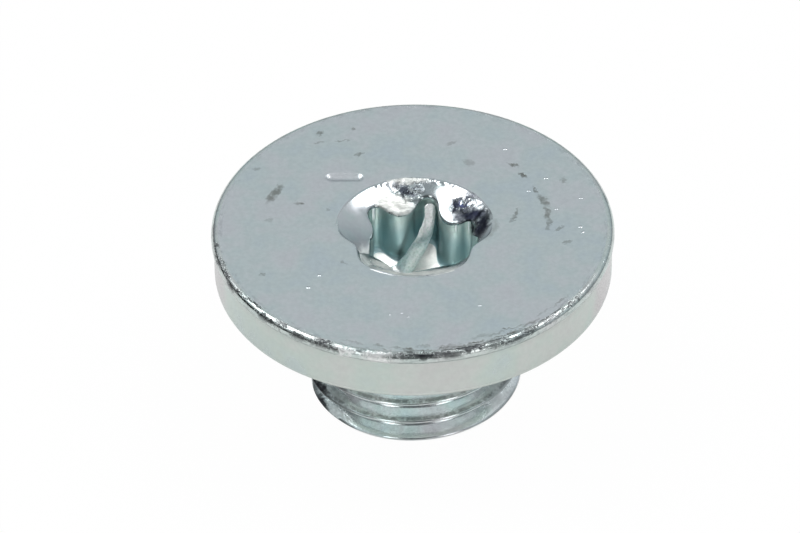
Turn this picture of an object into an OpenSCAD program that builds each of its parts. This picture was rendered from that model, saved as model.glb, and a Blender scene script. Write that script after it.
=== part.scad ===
// Screw plug for an oil pan: a broad disc head with a six-lobe drive recess,
// on a short shank that carries a fine metric thread, whose turns are rings here.
// Formed in one piece. It stands on the end of its shank: the origin is the
// centre of that end face, and +Z runs up the axis, out of the head.

/* [Head] */
// Diameter over the lip at the top of the head
head_d = 26; // [22:0.5:34]
// Height of the head, from the sealing face to its top
head_h = 3.6; // [2.6:0.1:6]
// Straight height of the lip that stands out round the top
lip_h = 0.55; // [0.45:0.05:1.1]
// How far the lip stands out past the rim below it
lip_out = 0.15; // [0.05:0.05:0.4]
// Height over which the lip runs back into the rim
lip_run_h = 0.25; // [0.1:0.05:0.6]
// Radius of the rolled edge round the top of the head
top_edge_r = 0.4; // [0.1:0.05:0.45]
// Radius of the edge between the rim and the sealing face
seat_edge_r = 0.35; // [0.1:0.05:0.6]

/* [Shank] */
// Outside diameter of the thread
thread_d = 14; // [12:0.5:18]
// Pitch of the thread, which sets the depth of its grooves and of the neck above it
thread_pitch = 1.5; // [1:0.25:2]
// Length of the shank, from the sealing face to its end
shank_h = 9.3; // [7:0.1:18]
// Length of the plain neck between the sealing face and the thread
neck_h = 2.3; // [1.2:0.1:3]
// Radius of the fillet between the neck and the sealing face
neck_fillet_r = 0.4; // [0.1:0.05:0.5]
// Height of the chamfer at the lower end
end_chamfer = 0.6; // [0.4:0.1:1.2]

/* [Drive recess] */
// Diameter of the countersink where it meets the top of the head
sink_d = 10; // [9:0.1:12]
// Full angle of the countersink's cone
sink_angle = 120; // [100:2:140]
// Size of the six-lobe socket over the points of its lobes
socket_a = 7.93; // [7.6:0.01:8.2]
// Size of the six-lobe socket between opposite ribs
socket_b = 5.64; // [5.4:0.01:5.8]
// Radius at the point of a lobe
lobe_r = 0.7; // [0.5:0.05:0.8]
// Depth of the socket at its lobes, from the top of the head
socket_depth = 4.1; // [3.4:0.1:5]
// Slope of the socket's floor towards its centre
floor_slope = 30; // [20:1:35]
// Turn of the lobes about the axis
socket_turn = 15.7; // [0:0.1:60]

/* [Hidden] */

$fn = 128;

// A cut runs this far past the face that it opens
overcut = 1;

lobes = 6;
// The sealing face under the head, and the head's top
seat_z = shank_h;
top_z = seat_z + head_h;

lip_r = head_d / 2;
rim_r = lip_r - lip_out;
thread_r = thread_d / 2;
// The neck has the diameter of the blank that a thread is rolled on, which is its pitch diameter
neck_r = thread_r - 3 / 8 * cos(30) * thread_pitch;
// The thread's flanks stand at 60 degrees to each other, so one falls this far for each millimetre inwards
flank_fall = tan(30);
// A crest is an eighth of the pitch wide. A groove takes the rest, and its root is a sixth of the pitch.
groove_half = 7 / 16 * thread_pitch;
root_half = thread_pitch / 12;
root_r = thread_r - (groove_half - root_half) / flank_fall;
// The last crest ends on a flank that falls to the neck
crest_top_z = seat_z - neck_h - (thread_r - neck_r) * flank_fall;
grooves = floor((crest_top_z - end_chamfer - thread_pitch / 16) / thread_pitch);

// Fall of the countersink for each millimetre towards the axis
sink_fall = 1 / tan(sink_angle / 2);
sink_r = sink_d / 2;
// The cone ends inside the ribs, where the socket has cut it all away
sink_bottom_r = 0.9 * socket_b / 2;

// Distance of a lobe's own centre from the axis
lobe_at = socket_a / 2 - lobe_r;
// Radius of a rib, which makes it run smoothly into the lobes beside it
rib_r = (pow(lobe_at, 2) + pow(socket_b / 2, 2) - lobe_at * socket_b * cos(180 / lobes) - pow(lobe_r, 2))
    / (2 * lobe_r - socket_b + 2 * lobe_at * cos(180 / lobes));
// Distance of a rib's own centre from the axis
rib_at = socket_b / 2 + rib_r;
// Half the angle that a lobe's arc turns through, and half the angle of a rib's
lobe_sweep = atan2(rib_at * sin(180 / lobes), rib_at * cos(180 / lobes) - lobe_at);
rib_sweep = lobe_sweep - 180 / lobes;
arc_steps = 10;

// Points along an arc about a centre that lies at a distance and a bearing from the axis.
// The arc's middle faces the given way, and it turns by half to either side.
function arc(distance, bearing, r, facing, half, first, last) = [
    for (i = [first : last])
        let (a = facing + half * (2 * i / arc_steps - 1))
            distance * [cos(bearing), sin(bearing)] + r * [cos(a), sin(a)]
];

function lobe_arc(bearing) = arc(lobe_at, bearing, lobe_r, bearing, lobe_sweep, 0, arc_steps);
function rib_arc(bearing) = arc(rib_at, bearing, rib_r, bearing + 180, -rib_sweep, 1, arc_steps - 1);

// What a round of radius r takes off a square corner at the origin, with the metal towards +X and +Y
module corner_waste(r) {
    difference() {
        translate([-overcut, -overcut])
            square(r + overcut);
        translate([r, r])
            circle(r);
    }
}

// What a fillet of radius r adds in a square corner at the origin, with the open side towards +X and +Y
module corner_fill(r) {
    difference() {
        square(r);
        translate([r, r])
            circle(r);
    }
}

// Half section of the head, from the sealing face up
module head_section() {
    difference() {
        polygon([
            [0, seat_z],
            [rim_r, seat_z],
            [rim_r, top_z - lip_h - lip_run_h],
            [lip_r, top_z - lip_h],
            [lip_r, top_z],
            [0, top_z]
        ]);
        translate([lip_r, top_z])
            mirror([1, 0])
                mirror([0, 1])
                    corner_waste(top_edge_r);
        translate([rim_r, seat_z])
            mirror([1, 0])
                corner_waste(seat_edge_r);
    }
}

// Section of one groove of the thread, from its lower crest to its upper one
function groove(middle) = [
    [thread_r, middle - groove_half],
    [root_r, middle - root_half],
    [root_r, middle + root_half],
    [thread_r, middle + groove_half]
];

// Half section of the shank: chamfered end, the thread's grooves and a plain neck that runs into the head
module shank_section() {
    turns = [for (i = [0 : grooves - 1]) each groove(end_chamfer + (i + 0.5) * thread_pitch)];
    polygon(concat(
        [[0, 0], [thread_r - end_chamfer, 0], [thread_r, end_chamfer]],
        turns,
        [[thread_r, crest_top_z], [neck_r, seat_z - neck_h]],
        [[neck_r, seat_z + head_h / 2], [0, seat_z + head_h / 2]]
    ));
    translate([neck_r, seat_z])
        mirror([0, 1])
            corner_fill(neck_fillet_r);
}

// Outline of the socket: lobes that stand out, with round ribs between them
module six_lobe_outline() {
    pitch = 360 / lobes;
    polygon([
        for (i = [0 : lobes - 1])
            each concat(lobe_arc(i * pitch), rib_arc((i + 0.5) * pitch))
    ]);
}

// The six-lobe socket as a solid to cut away, with a floor that falls towards the axis
module socket_cut() {
    floor_fall = socket_a / 2 * tan(floor_slope);
    intersection() {
        translate([0, 0, top_z - socket_depth - floor_fall - overcut])
            linear_extrude(socket_depth + floor_fall + 2 * overcut)
                rotate(socket_turn)
                    six_lobe_outline();
        rotate_extrude()
            polygon([
                [0, top_z - socket_depth - floor_fall],
                [socket_a, top_z - socket_depth + floor_fall],
                [socket_a, top_z + overcut],
                [0, top_z + overcut]
            ]);
    }
}

// The countersink as a solid to cut away
module sink_cut() {
    sink_depth = (sink_r - sink_bottom_r) * sink_fall;
    rotate_extrude()
        polygon([
            [0, top_z - sink_depth],
            [sink_bottom_r, top_z - sink_depth],
            [sink_r + overcut / sink_fall, top_z + overcut],
            [0, top_z + overcut]
        ]);
}

module plug_body() {
    color("silver")
        difference() {
            rotate_extrude()
                union() {
                    head_section();
                    shank_section();
                }
            sink_cut();
            socket_cut();
        }
}

plug_body();
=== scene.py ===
"""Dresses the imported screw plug: a zinc-plated steel plug with a broad disc head, a countersunk
six-lobe socket and a short fine-threaded shank, standing on its end on a white table."""

import logging
import math
from dataclasses import dataclass, field
from enum import Enum

import bmesh
import bpy
import numpy as np
from mathutils import Matrix, Vector

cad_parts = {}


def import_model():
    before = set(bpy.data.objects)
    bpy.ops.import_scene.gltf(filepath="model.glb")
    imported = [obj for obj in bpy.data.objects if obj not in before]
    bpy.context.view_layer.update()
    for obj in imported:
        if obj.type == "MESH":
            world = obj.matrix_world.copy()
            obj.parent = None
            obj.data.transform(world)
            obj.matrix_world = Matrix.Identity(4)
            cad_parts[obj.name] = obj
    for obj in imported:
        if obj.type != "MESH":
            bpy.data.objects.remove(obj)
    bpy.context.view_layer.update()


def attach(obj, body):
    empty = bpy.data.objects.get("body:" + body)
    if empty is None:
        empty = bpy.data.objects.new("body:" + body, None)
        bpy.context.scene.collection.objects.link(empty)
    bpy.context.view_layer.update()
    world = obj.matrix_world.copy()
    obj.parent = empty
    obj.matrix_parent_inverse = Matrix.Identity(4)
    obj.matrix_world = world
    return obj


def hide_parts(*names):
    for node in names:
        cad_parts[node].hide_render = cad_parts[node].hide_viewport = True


log = logging.getLogger("screw_plug")

MM = 0.001
TURN = 2.0 * math.pi
# Points of a mesh closer than this merge, in metres
MERGE_WITHIN = 1e-7
# Faces that meet at more than this many degrees show a sharp edge
SHARP_FROM = 50.0

Array = np.ndarray
Rows = tuple[np.ndarray, np.ndarray]
Socket = bpy.types.NodeSocket
Colour = tuple[float, float, float]


# Helpers in numbers


def smooth(x: Array | float, low: float, high: float) -> Array:
    """Rises from 0 at low to 1 at high along 3t^2 - 2t^3, with t the share of the way.

    Args:
        x: Where to read the curve.
        low: Where it leaves 0.
        high: Where it reaches 1.

    Returns:
        The curve's values, in the shape of x.
    """
    t = np.clip((np.asarray(x, float) - low) / (high - low), 0.0, 1.0)
    return t * t * (3.0 - 2.0 * t)


def bell(x: Array, middle: float, width: float) -> Array:
    """A bell curve: e to the power of minus the square of the distance over the width.

    Args:
        x: Where to read the curve.
        middle: Where it is 1.
        width: Distance at which it has fallen to 1/e.

    Returns:
        The curve's values, in the shape of x.
    """
    return np.exp(-(((x - middle) / width) ** 2))


def soft_min(a: Array, b: Array, blend: float) -> Array:
    """The smaller of a and b, rounded off where they cross: the mean less a root of the gap squared.

    Args:
        a: First values.
        b: Second values.
        blend: Width over which the crossing is rounded.

    Returns:
        The rounded minimum.
    """
    return 0.5 * (a + b) - 0.5 * np.sqrt((a - b) ** 2 + blend**2)


def lattice_noise(x: Array, y: Array, cell: float, seed: int) -> Array:
    """Smooth noise from -1 to 1: random values on a square lattice, blended between its corners.

    Args:
        x: Places along the first axis.
        y: Places along the second axis.
        cell: Side of a lattice square.
        seed: Which lattice to draw.

    Returns:
        The noise, in the shape of x.
    """
    size = 64
    table = np.random.default_rng(seed).uniform(-1.0, 1.0, (size, size))
    u, v = np.asarray(x) / cell, np.asarray(y) / cell
    i, j = np.floor(u).astype(int), np.floor(v).astype(int)
    s, t = smooth(u - i, 0.0, 1.0), smooth(v - j, 0.0, 1.0)
    i, j = i % size, j % size
    k, m = (i + 1) % size, (j + 1) % size
    near = table[i, j] * (1 - s) + table[k, j] * s
    far = table[i, m] * (1 - s) + table[k, m] * s
    return near * (1 - t) + far * t


def arc_rows(centre: tuple[float, float], radius: float, start: float, end: float, count: int) -> Array:
    """Points along a circle of the section, the first left out: centre plus radius times cosine and sine.

    Args:
        centre: The circle's centre: distance from the axis and height.
        radius: Radius of the circle.
        start: Angle of the point before the first, in degrees.
        end: Angle of the last point, in degrees.
        count: How many points.

    Returns:
        An array of (distance from the axis, height), one line a point.
    """
    a = np.radians(np.linspace(start, end, count + 1)[1:])
    return np.stack([centre[0] + radius * np.cos(a), centre[1] + radius * np.sin(a)], -1)


def catmull_rom(knots: Array, t: Array) -> Array:
    """A smooth curve through values: on each span a cubic whose slopes are half the neighbours' gaps.

    Args:
        knots: The values to pass through, one at each whole number.
        t: Where to read the curve.

    Returns:
        The curve's values.
    """
    padded = np.concatenate([[2 * knots[0] - knots[1]], knots, [2 * knots[-1] - knots[-2]]])
    i = np.clip(np.floor(t).astype(int), 0, len(knots) - 2)
    u = t - i
    a, b, c, d = padded[i], padded[i + 1], padded[i + 2], padded[i + 3]
    square = 2 * a - 5 * b + 4 * c - d
    cube = 3 * b - a - 3 * c + d
    return 0.5 * (2 * b + (c - a) * u + square * u**2 + cube * u**3)


# Sizes, in millimetres and degrees


@dataclass(frozen=True)
class HeadSize:
    """The disc head."""

    radius: float = 13.0
    height: float = 3.6
    lip_height: float = 0.55
    lip_out: float = 0.15
    lip_run: float = 0.25
    top_edge: float = 0.45
    seat_edge: float = 0.35


@dataclass(frozen=True)
class ShankSize:
    """The shank and its right-hand thread."""

    radius: float = 7.0
    pitch: float = 1.5
    length: float = 9.3
    neck: float = 2.3
    neck_fillet: float = 0.4
    end_chamfer: float = 0.6
    end_chamfer_long: float = 0.75
    chamfer_round: float = 0.05
    crest_round: float = 0.14
    # Radius of a root, as a share of the pitch
    root_round: float = 0.1443
    # Length over which the thread runs out into the neck
    runout: float = 1.0
    # Height of a groove's middle on the side towards the camera
    groove_at: float = 2.92


@dataclass(frozen=True)
class SocketSize:
    """The countersink and the six-lobe socket in it."""

    sink_radius: float = 5.0
    sink_angle: float = 120.0
    across_lobes: float = 7.93
    across_ribs: float = 5.64
    lobe_radius: float = 0.7
    depth: float = 4.1
    floor_slope: float = 30.0
    turn: float = 15.7
    mouth_edge: float = 0.14
    brink: float = 0.14
    floor_fillet: float = 0.3
    # How far the cone bellies out, as a share of its width
    belly: float = 0.033
    # The punch stood a little off the head's centre, which fades out between two distances
    off_x: float = 0.15
    off_y: float = -0.1
    off_to: float = 5.6
    off_gone: float = 9.5
    # The lobe that pushed metal closes, how wide that is to each side, and where its straight edge lies
    closed_lobe: float = 195.7
    closed_reach: float = 30.0
    closed_facing: float = 180.0
    closed_at: float = 2.86
    # The rib that is worn away at the mouth, how far out, and between which angles the wear fades
    worn_rib: float = 339.0
    worn_to: float = 4.1
    worn_reach: float = 14.0
    worn_gone: float = 34.0


@dataclass(frozen=True)
class Patch:
    """An oval place of damage, from the head's middle."""

    x: float
    y: float
    half_x: float
    half_y: float
    # Square of the share of the oval that is at full strength
    full: float = 0.5

    def share(self, x: Array, y: Array) -> Array:
        """Strength at each place: a smooth step of the squares of the two distances over the half sizes.

        Args:
            x: Places along X.
            y: Places along Y.

        Returns:
            1 in the oval, and 0 outside.
        """
        away = ((x - self.x) / self.half_x) ** 2 + ((y - self.y) / self.half_y) ** 2
        return 1 - smooth(away, self.full, 1.1)


@dataclass(frozen=True)
class DamageSize:
    """What the punch and use did to the head's top and its countersink."""

    # Torn metal right of the socket
    torn: Patch = Patch(3.85, 1.4, 1.3, 1.9)
    torn_height: float = 0.06
    torn_sunk: float = 0.03
    # A swirl of metal behind the socket: waves along a band that bends
    swirl: Patch = Patch(-0.35, 4.15, 0.95, 0.6)
    swirl_height: float = 0.07
    swirl_bend: float = 0.35
    swirl_waves: float = 9.0
    # A tongue of metal that bulges over the rib behind
    tongue: Patch = Patch(-1.2, 3.1, 1.3, 0.7, 0.4)
    tongue_height: float = 0.05
    # The rough stretch of the countersink's rim behind, which grows between two places along Y
    rough_radius: float = 4.95
    rough_width: float = 0.16
    rough_height: float = 0.06
    rough_from: float = 3.6
    rough_full: float = 4.6
    # Metal pushed in over the countersink's rim: how far, at which angle, and how wide
    pushes: tuple[tuple[float, float, float], ...] = ((0.86, 205.0, 16.0), (0.84, 331.0, 17.5))
    push_radius: float = 5.05
    push_blend: float = 0.07
    push_full: float = 5.2
    # An oblong slot: its middle, half its straight length, its depth, and the slope of its sides
    slot_x: float = -4.5
    slot_y: float = 5.2
    slot_half: float = 0.85
    slot_depth: float = 0.16
    slot_bottom: float = 0.14
    slot_edge: float = 0.4
    # The countersink's damage fades out between these distances
    fades_from: float = 5.05
    fades_to: float = 5.5
    # Nothing changes further out or further down than this
    reach: float = 11.5
    down_to: float = 2.2


# Nodes


class Nodes:
    """Adds nodes to one tree and wires them, so that a finish reads as a list of steps."""

    def __init__(self, tree: bpy.types.NodeTree) -> None:
        """Keeps the tree that the nodes go into."""
        self.tree = tree

    def feed(self, socket: Socket, value: object) -> None:
        """Links a socket, or sets its value.

        Args:
            socket: The input to feed.
            value: Another node's output, or a plain value.
        """
        if isinstance(value, Socket):
            self.tree.links.new(value, socket)
        else:
            socket.default_value = value

    def add(self, kind: str, inputs: dict | None = None, **settings: object) -> bpy.types.Node:
        """Adds a node.

        Args:
            kind: Its type.
            inputs: Values or links for its inputs, by name or number.
            **settings: Its other settings.

        Returns:
            The node.
        """
        node = self.tree.nodes.new(kind)
        for key, value in settings.items():
            setattr(node, key, value)
        for key, value in (inputs or {}).items():
            self.feed(node.inputs[key], value)
        return node

    def group(self, tree: bpy.types.NodeTree, **inputs: object) -> bpy.types.Node:
        """Places an effect's node group with its own values."""
        return self.add("ShaderNodeGroup", inputs, node_tree=tree)

    def math(self, operation: str, a: object, b: object = 0.0) -> Socket:
        """Adds one step of arithmetic, and gives its result."""
        return self.add("ShaderNodeMath", {0: a, 1: b}, operation=operation).outputs[0]

    def times(self, a: object, b: object) -> Socket:
        """Multiplies two values."""
        return self.math("MULTIPLY", a, b)

    def plus(self, a: object, b: object) -> Socket:
        """Adds two values."""
        return self.math("ADD", a, b)

    def minus(self, a: object, b: object) -> Socket:
        """Takes the second value from the first."""
        return self.math("SUBTRACT", a, b)

    def vector(self, operation: str, a: object, b: object = (0.0, 0.0, 0.0)) -> Socket:
        """Adds one step of arithmetic on vectors, and gives its result."""
        return self.add("ShaderNodeVectorMath", {0: a, 1: b}, operation=operation).outputs[0]

    def scaled(self, a: object, factor: float) -> Socket:
        """Makes a vector longer or shorter by a factor."""
        return self.add("ShaderNodeVectorMath", {0: a, "Scale": factor}, operation="SCALE").outputs[0]

    def split(self, place: object) -> tuple[Socket, ...]:
        """Takes a vector apart into its three numbers."""
        return tuple(self.add("ShaderNodeSeparateXYZ", {0: place}).outputs)

    def noise(
        self, place: object, scale: object, detail: float, roughness: float = 0.5, warp: float = 0.0
    ) -> Socket:
        """Adds smooth chance noise.

        Args:
            place: Where to read it.
            scale: How fast it changes.
            detail: How many finer layers it has.
            roughness: How much those layers count.
            warp: How far it is distorted.

        Returns:
            The noise, about 0.5.
        """
        inputs = {"Vector": place, "Scale": scale, "Detail": detail, "Roughness": roughness}
        return self.add("ShaderNodeTexNoise", {**inputs, "Distortion": warp}).outputs[0]

    def span(
        self, value: object, low: float, high: float, start: float = 0.0, end: float = 1.0
    ) -> Socket:
        """Maps low..high smoothly to start..end, and holds it there beyond.

        Args:
            value: What to map.
            low: Value that gives start.
            high: Value that gives end.
            start: Result at low.
            end: Result at high.

        Returns:
            The mapped value.
        """
        inputs = {"Value": value, "From Min": low, "From Max": high, "To Min": start, "To Max": end}
        return self.add("ShaderNodeMapRange", inputs, interpolation_type="SMOOTHSTEP").outputs[0]

    def blend(self, share: object, a: object, b: object, way: str = "MIX") -> Socket:
        """Blends two colours.

        Args:
            share: How much of b.
            a: First colour.
            b: Second colour.
            way: How they are blended.

        Returns:
            The colour.
        """
        node = self.add("ShaderNodeMix", data_type="RGBA", blend_type=way)
        self.feed(node.inputs[0], share)
        self.feed(node.inputs[6], a)
        self.feed(node.inputs[7], b)
        return node.outputs[2]

    def ramp(self, value: object, stops: tuple[tuple[float, Colour], ...]) -> Socket:
        """Reads a colour off a row of stops.

        Args:
            value: Where to read.
            stops: Places and their colours.

        Returns:
            The colour.
        """
        node = self.add("ShaderNodeValToRGB", {0: value})
        elements = node.color_ramp.elements
        elements.remove(elements[1])
        elements[0].position = stops[0][0]
        elements[0].color = (*stops[0][1], 1)
        for place, colour in stops[1:]:
            elements.new(place).color = (*colour, 1)
        return node.outputs[0]


# Effects, as node groups


def new_effect(
    name: str, inputs: dict[str, str], outputs: dict[str, str]
) -> tuple[Nodes, object, object]:
    """Starts a node group.

    Args:
        name: Name of the group.
        inputs: Its inputs and their kinds.
        outputs: Its outputs and their kinds.

    Returns:
        The group's nodes, what it is given by name, and the sockets that take what it puts out.
    """
    tree = bpy.data.node_groups.new(name, "ShaderNodeTree")
    for direction, sockets in (("INPUT", inputs), ("OUTPUT", outputs)):
        for label, kind in sockets.items():
            tree.interface.new_socket(name=label, in_out=direction, socket_type="NodeSocket" + kind)
    nodes = Nodes(tree)
    return nodes, nodes.add("NodeGroupInput").outputs, nodes.add("NodeGroupOutput").inputs


class Effects:
    """The effects that the finishes share, each a node group that is built once."""

    def __init__(self) -> None:
        """Builds every group."""
        self.cloud = self.build_cloud()
        self.grain = self.build_grain()
        self.blot = self.build_blot()
        self.scuff_and_sheen = self.build_scuff_and_sheen()
        self.tear = self.build_tear()
        self.crest_line = self.build_crest_dark_line()

    def build_cloud(self) -> bpy.types.NodeTree:
        """Soft drifts of blue, green and pink, as the passivation shows.

        Returns:
            The group.
        """
        inputs = {"Place": "Vector", "Size": "Float", "Amount": "Float"}
        nodes, given, out = new_effect("passivation_cloud", inputs, {"Tint": "Color", "Drift": "Float"})
        blue, green = (0.90, 0.97, 1.0), (0.94, 1.0, 0.98)
        white, pink = (1.0, 1.0, 1.0), (1.0, 0.96, 0.98)
        drift = nodes.noise(given["Place"], nodes.math("DIVIDE", 1.0, given["Size"]), 3.0, 0.55)
        hue = nodes.ramp(drift, ((0.3, blue), (0.45, green), (0.55, white), (0.68, pink)))
        nodes.feed(out["Tint"], nodes.blend(given["Amount"], (*white, 1), hue))
        nodes.feed(out["Drift"], drift)
        return nodes.tree

    def build_grain(self) -> bpy.types.NodeTree:
        """Fine unevenness of the pressed and plated steel.

        Returns:
            The group.
        """
        inputs = {"Place": "Vector", "Size": "Float"}
        nodes, given, out = new_effect("plating_grain", inputs, {"Grain": "Float"})
        scale = nodes.math("DIVIDE", 1.0, given["Size"])
        nodes.feed(out["Grain"], nodes.noise(given["Place"], scale, 4.0, 0.7))
        return nodes.tree

    def build_blot(self) -> bpy.types.NodeTree:
        """A spot: 1 inside a turned ellipse about X, Y, and 0 outside it, seen along Z.

        Returns:
            The group.
        """
        numbers = dict.fromkeys(("X", "Y", "Long", "Wide", "Turn"), "Float")
        nodes, given, out = new_effect("blot", {"Place": "Vector", **numbers}, {"Mask": "Float"})
        x, y, _ = nodes.split(given["Place"])
        dx, dy = nodes.minus(x, given["X"]), nodes.minus(y, given["Y"])
        c, s = nodes.math("COSINE", given["Turn"]), nodes.math("SINE", given["Turn"])
        along = nodes.plus(nodes.times(dx, c), nodes.times(dy, s))
        across = nodes.minus(nodes.times(dy, c), nodes.times(dx, s))
        u = nodes.math("DIVIDE", along, given["Long"])
        v = nodes.math("DIVIDE", across, given["Wide"])
        away = nodes.plus(nodes.times(u, u), nodes.times(v, v))
        nodes.feed(out["Mask"], nodes.span(away, 0.1, 1.5, 1.0, 0.0))
        return nodes.tree

    def build_scuff_and_sheen(self) -> bpy.types.NodeTree:
        """Wear along a round edge, with painted shade and painted highlight: broken dark and bright patches
        that follow the edge round.

        The noise is read at a place that goes round with the edge and rises with the distance and the
        height, three and four times as fast, so that its patches are long.

        Returns:
            The group.
        """
        numbers = dict.fromkeys(("From", "To", "Share"), "Float")
        outputs = {"Dark": "Float", "Bright": "Float"}
        nodes, given, out = new_effect("edge_scuff_and_sheen", {"Place": "Vector", **numbers}, outputs)
        flat = nodes.vector("MULTIPLY", given["Place"], (1, 1, 0))
        radius = nodes.add("ShaderNodeVectorMath", {0: flat}, operation="LENGTH").outputs["Value"]
        around = nodes.scaled(nodes.vector("NORMALIZE", flat), HeadSize.radius)
        _, _, up = nodes.split(given["Place"])
        rise = nodes.plus(nodes.times(radius, 3.0), nodes.times(up, 4.0))
        where = nodes.vector("ADD", around, nodes.add("ShaderNodeCombineXYZ", {2: rise}).outputs[0])
        limits = {"Value": radius, "From Min": given["From"], "From Max": given["To"]}
        near = nodes.add("ShaderNodeMapRange", limits).outputs[0]
        weight = nodes.times(near, given["Share"])
        patch = nodes.plus(nodes.noise(where, 1.1, 6.0, 0.75), nodes.times(weight, 0.25))
        other = nodes.noise(where, 1.9, 4.0, 0.7)
        # Dark patches are wear with painted shade, bright patches are wear with painted highlight
        nodes.feed(out["Dark"], nodes.times(nodes.span(patch, 0.56, 0.68), weight))
        nodes.feed(out["Bright"], nodes.times(nodes.span(other, 0.58, 0.66), weight))
        return nodes.tree

    def build_crest_dark_line(self) -> bpy.types.NodeTree:
        """A line that follows the thread just over its crest: a band of the height over the groove.

        The height counts in pitches, less the share of a turn, so that the line climbs with the thread.

        Returns:
            The group.
        """
        inputs = {"Place": "Vector", "Pitch": "Float", "Groove": "Float"}
        nodes, given, out = new_effect("crest_dark_line", inputs, {"Mask": "Float"})
        x, y, z = nodes.split(given["Place"])
        turn = nodes.math("DIVIDE", nodes.math("ARCTAN2", x, nodes.times(y, -1.0)), TURN)
        climb = nodes.math("DIVIDE", nodes.minus(z, given["Groove"]), given["Pitch"])
        phase = nodes.math("FRACT", nodes.minus(climb, turn))
        just_over_crest = 0.62
        away = nodes.math("ABSOLUTE", nodes.minus(phase, just_over_crest))
        line = nodes.span(away, 0.02, 0.075, 1.0, 0.0)
        off_the_end = nodes.span(z, 1.1, 1.7)
        nodes.feed(out["Mask"], nodes.times(line, off_the_end))
        return nodes.tree

    def build_tear(self) -> bpy.types.NodeTree:
        """Torn plating: where it is bare and dark, and where flakes of it stand up.

        Returns:
            The group.
        """
        inputs = {"Place": "Vector", "Size": "Float"}
        nodes, given, out = new_effect("torn_plating", inputs, {"Bare": "Float", "Flake": "Float"})
        scale = nodes.math("DIVIDE", 1.0, given["Size"])
        bare = nodes.noise(given["Place"], scale, 5.0, 0.65, warp=0.8)
        flake = nodes.noise(given["Place"], nodes.times(scale, 2.6), 3.0, warp=1.0)
        nodes.feed(out["Bare"], nodes.span(bare, 0.42, 0.52))
        nodes.feed(out["Flake"], nodes.span(flake, 0.55, 0.62))
        return nodes.tree


# Finishes


@dataclass(frozen=True)
class Spot:
    """A small mark, in millimetres from the middle of the head, its turn in degrees."""

    x: float
    y: float
    long: float
    wide: float
    turn: float = 0.0
    depth: float = 1.0


def edge_chain(
    radius: float, start: float, end: float, count: int, seed: int, depth: float = 1.0
) -> tuple[Spot, ...]:
    """Dashes along a round edge, laid along the edge with chance in place, size and strength; they serve as
    rubbed wear and as painted shade.

    Args:
        radius: Radius of the chain.
        start: Angle of its first dash, in degrees.
        end: Angle of its last dash, in degrees.
        count: How many dashes.
        seed: Which draw of chance.
        depth: How strong they are.

    Returns:
        The dashes.
    """
    draw = np.random.default_rng(seed)
    spots = []
    for angle in np.linspace(start, end, count):
        angle = angle + draw.uniform(-2.0, 2.0)
        r = radius + draw.uniform(-0.2, 0.15)
        a = math.radians(angle)
        long, wide = draw.uniform(0.35, 0.9), draw.uniform(0.05, 0.14)
        strength = depth * draw.uniform(0.6, 1.0)
        spots.append(Spot(r * math.cos(a), r * math.sin(a), long, wide, angle + 90, strength))
    return tuple(spots)


class Coat:
    """A finish in the making: its nodes, where its surface is, and its look so far.

    Places are in millimetres. The shaken place is off by up to half a millimetre of chance, so that
    marks drawn with it have ragged edges.
    """

    def __init__(self, name: str, colour: Colour, effects: Effects) -> None:
        """Starts a metal of one colour.

        Args:
            name: Name of the material.
            colour: Its colour.
            effects: The shared groups.
        """
        self.material = bpy.data.materials.new(name)
        self.material.use_nodes = True
        self.effects = effects
        self.nodes = Nodes(self.material.node_tree)
        metres = self.nodes.add("ShaderNodeTexCoord").outputs["Object"]
        self.place = self.nodes.scaled(metres, 1 / MM)
        chance = self.nodes.noise(self.place, 2.2, 4.0, 0.7).node.outputs["Color"]
        shake = self.nodes.scaled(self.nodes.vector("SUBTRACT", chance, (0.5, 0.5, 0.5)), 0.9)
        self.shaken = self.nodes.vector("ADD", self.place, shake)
        self.colour: object = (*colour, 1)
        self.roughness: object = 0.0
        self.height: object = 0.0
        self.grain: object = 0.5

    def tone(self, factor: Socket) -> None:
        """Multiplies the colour by a tone or a tint."""
        self.colour = self.nodes.blend(1.0, self.colour, factor, "MULTIPLY")

    def paint(self, mask: Socket, colour: Colour) -> None:
        """Lays a colour over the look where a mask says."""
        self.colour = self.nodes.blend(mask, self.colour, (*colour, 1))

    def roughen(self, mask: Socket, amount: float) -> None:
        """Makes the surface rougher where a mask says."""
        self.roughness = self.nodes.plus(self.roughness, self.nodes.times(mask, amount))

    def lift(self, mask: Socket, amount: float) -> None:
        """Makes the surface higher, in millimetres, where a mask says."""
        self.height = self.nodes.plus(self.height, self.nodes.times(mask, amount))

    def marks(self, spots: tuple[Spot, ...], place: Socket) -> Socket:
        """Draws a group of spots.

        Args:
            spots: The spots.
            place: Where the surface is, shaken or not.

        Returns:
            A mask: the strongest spot at each place.
        """
        total = None
        for spot in spots:
            sizes = {"X": spot.x, "Y": spot.y, "Long": spot.long, "Wide": spot.wide}
            turn = math.radians(spot.turn)
            blot = self.nodes.group(self.effects.blot, Place=place, Turn=turn, **sizes)
            mask = self.nodes.times(blot.outputs["Mask"], spot.depth)
            total = mask if total is None else self.nodes.math("MAXIMUM", total, mask)
        return total

    def finish(self) -> bpy.types.Material:
        """Gives the look to the metal.

        Returns:
            The material.
        """
        shader = self.material.node_tree.nodes["Principled BSDF"]
        bump = self.nodes.add("ShaderNodeBump", {"Strength": 1.0, "Distance": MM, "Height": self.height})
        look = {"Metallic": 1.0, "Base Color": self.colour, "Roughness": self.roughness}
        for label, value in {**look, "Normal": bump.outputs[0]}.items():
            self.nodes.feed(shader.inputs[label], value)
        return self.material


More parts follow.
